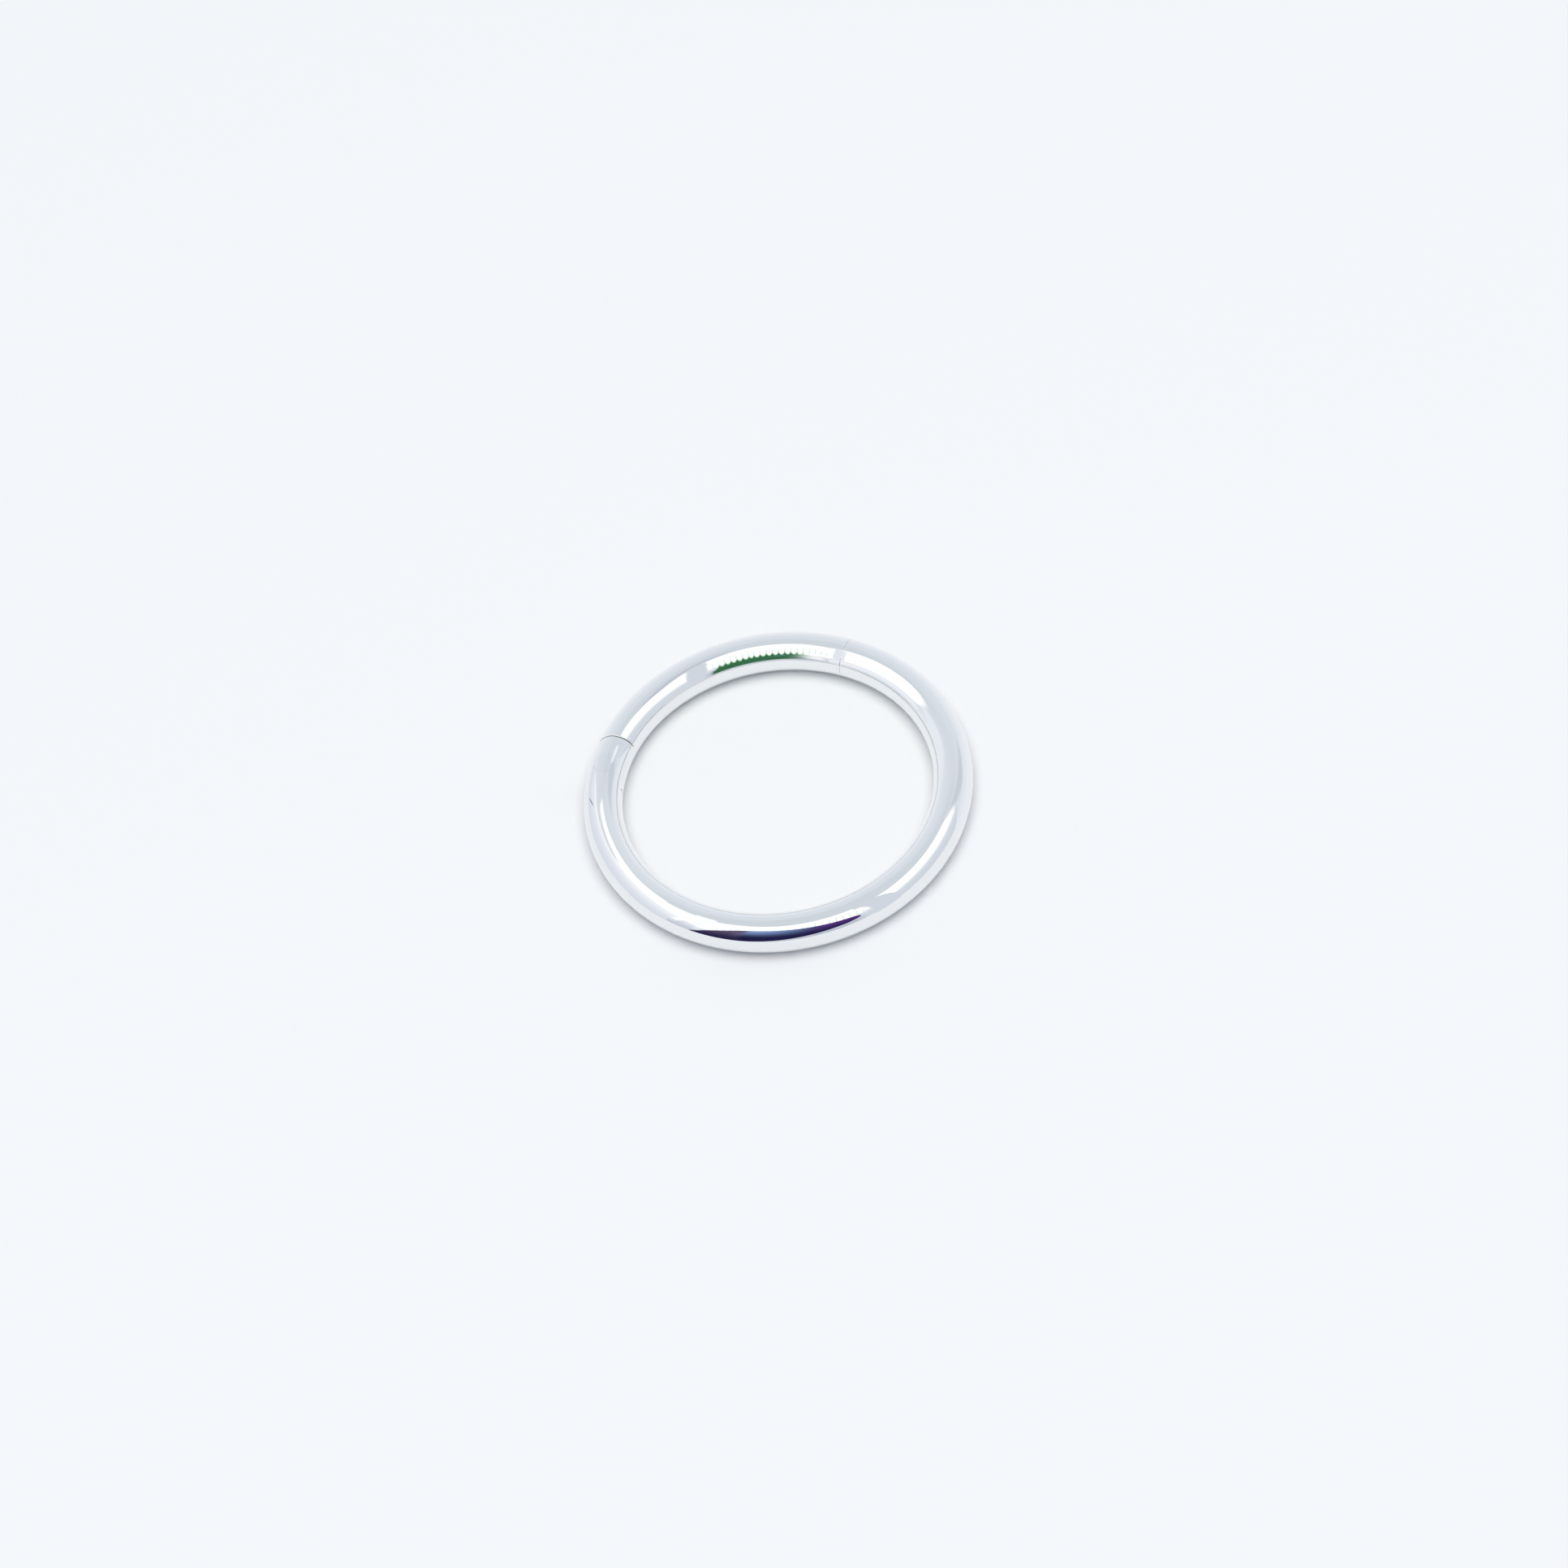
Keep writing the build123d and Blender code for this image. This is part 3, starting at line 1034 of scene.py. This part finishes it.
# %% The dark card in front
blade_left, blade_right = Vector((-5.5, -6.0, 0)), Vector((4.6, -9.5, 0))
blade_way = (blade_right - blade_left).normalized()
BLADE = [(-0.4, 0.70), (2.8, 0.78), (4.6, 1.08), (6.7, 1.6), (8.7, 2.1), (9.8, 2.7), (10.1, 3.5),
         (9.7, 4.5), (8.5, 4.9), (5.5, 5.8), (3.9, 6.35), (2.5, 6.5), (1.8, 5.8), (1.2, 4.0),
         (0.2, 1.6)]
blade = add_card("dark_card", [blade_left + blade_way * along + UP * up for along, up in BLADE], 0.3)
glow(blade, "#201C44", [
    ("#8098CC", 1.0, [("X", -3.8, -3.3), ("X", 2.0, -3.0), ("Z", 1.8, 5.5)]),
    ("#60546C", 1.0, [("X", -2.95, -3.35), ("Z", 0.5, 5.0)]),
    ("#5A3484", 0.8, [("X", -0.8, 2.0), ("Z", 1.6, 4.4)])])

# %% [markdown]
# The tent's green board is here once more, close by, for the far half of the hoop. The near half
# only sees its clear back.

# %% The green board, close by
BOARD_SIDE, BOARD_BACK, BOARD_LOW, BOARD_HIGH = 3.3, -2.0, 0.75, 3.7
near_board = add_card("near_green_board", [(-BOARD_SIDE, BOARD_BACK, BOARD_LOW),
                                           (-BOARD_SIDE, BOARD_BACK, BOARD_HIGH),
                                           (BOARD_SIDE, BOARD_BACK, BOARD_HIGH),
                                           (BOARD_SIDE, BOARD_BACK, BOARD_LOW)])
glow(near_board, "#BCC2CD", [
    ("#CFD5DD", 1.0, [("X", 1.6, 2.2)]),
    ("#F2F6F3", 1.0, [("X", -1.6, -2.4), ("Z", 1.3, 1.9)]),
    (GREEN, 1.0, [("X", -2.9, -1.2), ("X", 1.70, 1.58), ("Z", 0.9, 1.35)])], back_shows=False)

# %% [markdown]
# Pale cards stand at the left side and at the left front corner. A tall grey strip stands at the
# camera's side, bent so that its mirror image crosses the wire straight, and a white streak hangs
# over the left side.

# %% Pale cards at the sides and overhead
LOW, HIGH = 0.85, 4.6
glow(add_card("left_card", [(-6.5, -4.8, LOW), (-6.5, 4.5, LOW), (-6.5, 4.5, HIGH),
                            (-6.5, -4.8, HIGH)]),
     "#D8DDE6", [("#F5F6FA", 1.0, [("Z", 1.0, 4.8)])])
glow(add_card("corner_card", [(-7.0, -6.8, LOW), (-6.75, -5.35, LOW), (-6.75, -5.35, HIGH),
                              (-7.0, -6.8, HIGH)]),
     "#C3C8D6", [("#ECEDF4", 1.0, [("Z", 1.0, 4.8)])])
STRIP_BACK = -11.3
STRIP = [(6.4, 0), (10.6, 0), (10.8, 3.4), (11.7, 11.6), (13.6, 21.3), (19.1, 44), (38.4, 118),
         (20.7, 100), (14.4, 60), (9.9, 33), (7.8, 17.8), (7.0, 10.1)]
glow(add_card("grey_strip", [(x, STRIP_BACK, z) for x, z in STRIP]), "#D0D5DE")
ROOF = 6.5
STREAK = [(-3.5, 4.6), (-3.8, 3.6), (-4.6, 1.6), (-4.5, -0.5), (-6.6, -2.7), (-6.8, -0.2),
          (-6.7, 2.0), (-5.6, 4.6)]
glow(add_card("white_streak", [(x, y, ROOF) for x, y in STREAK], 0.2), "#FFFFFF")

# %% [markdown]
# The last cards correct one part of the ring each. They show on one side only, so the opposite half
# of the ring doesn't mirror them. It is plain on the photograph which part of the wire has to
# mirror such a card, so that is how its outline is given: in degrees round the hoop and round the
# wire. A line from the camera to each of these places, mirrored there, meets the card's plane in a
# point of its edge.

# %% A card from its mirror image
POINTS_A_SIDE = 4


def mirror_card(name, colour, plane_point, facing, places):
    """One-sided card in a plane, whose mirror image has these corners on the wire."""
    edge = []
    for start, finish in zip(places, places[1:] + places[:1]):
        for step in range(POINTS_A_SIDE):
            place, normal = on_skin(*Vector(start).lerp(Vector(finish), step / POINTS_A_SIDE))
            ray = (place - seat).reflect(normal)
            edge.append(intersect_line_plane(place, place + ray, plane_point, facing))
    card = add_card(name, edge, facing=facing)
    glow(card, colour, back_shows=False)


print(f"mirror rays start {seat.length:.0f} mm away, at the camera")

# %% [markdown]
# The first two end the white cloth at the hinge, as the ring's ears are a hair out of line with the
# gate there, and leave a small patch of it. The third hides the cloth's seam from the near half,
# and the fourth is the lip of the roof.

# %% Small one-sided cards
EARS = hinge_angle - 0.2
HINGE_SIDE = Vector((-0.85, 0, -0.5))
mirror_card("hinge_end_card", "#D0D6DE", Vector((-2.20, 3.0, 2.80)), HINGE_SIDE,
            [(EARS, 98), (EARS, 130), (153, 126), (157.5, 119.5), (159.5, 109), (157.5, 100.5),
             (153, 95.5)])
mirror_card("hinge_patch_card", "#EBEEF2", Vector((-2.24, 3.0, 2.77)), HINGE_SIDE,
            [(152, 107), (152, 114.5), (154.5, 115.5), (159, 114), (159.5, 107.5), (155.5, 106.5)])
mirror_card("near_cloth_card", "#FFFFFF", Vector((-4.0, -4.55, 3.3)), Vector((0.25, -0.7, -0.67)),
            [(235.5, 45.5), (235.5, 79.5), (242.5, 77.5), (242.5, 45.5)])
mirror_card("roof_lip_card", "#CED5DB", Vector((0, -4.5, 7.0)), Vector((0, -0.7, -0.7)),
            [(242, 76.5), (251.5, 73), (263, 70.5), (284, 67.5), (298, 68), (309.5, 70.5),
             (333, 78.5), (332, 85), (298, 81.5), (256, 80), (242, 81.5)])
